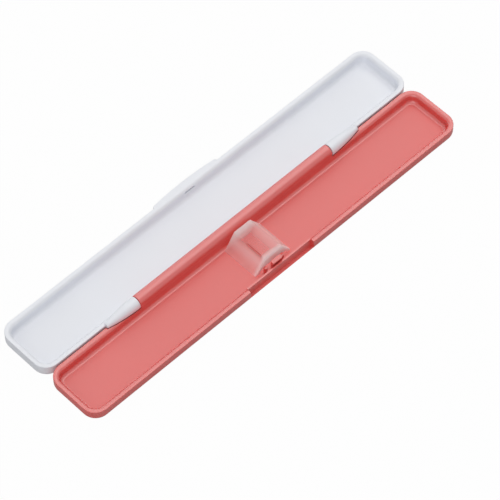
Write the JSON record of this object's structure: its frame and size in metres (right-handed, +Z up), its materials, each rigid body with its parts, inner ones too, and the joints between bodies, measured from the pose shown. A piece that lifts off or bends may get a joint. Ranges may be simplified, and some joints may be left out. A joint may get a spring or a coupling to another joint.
{
  "type": "chopstick case",
  "caption": "Slim hinged case for a pair of chopsticks: long base tray with a soft stick holder and a latch tongue, and a shallow lid that folds over it on a moulded side hinge.",
  "frame": {"origin": "centre of the base tray's flat underside", "axes": "+X along the case, +Y from the base towards the opened lid, +Z up out of the trays"},
  "size_m": [0.19, 0.0544, 0.0089],
  "materials": {
    "coral_plastic": "satin moulded",
    "white_plastic": "satin moulded",
    "clear_soft_plastic": "translucent, frosted"
  },
  "bodies": {
    "base": {"base_tray": "coral_plastic", "stick_holder": "clear_soft_plastic"},
    "lid": {"lid_tray": "white_plastic"}
  },
  "joints": [
    {"name": "lid_hinge", "type": "hinge", "parent": "base", "child": "lid", "pos_m": [0, 0.01327, 0.006], "axis": [1, 0, 0], "range_deg": [0, 180]}
  ]
}
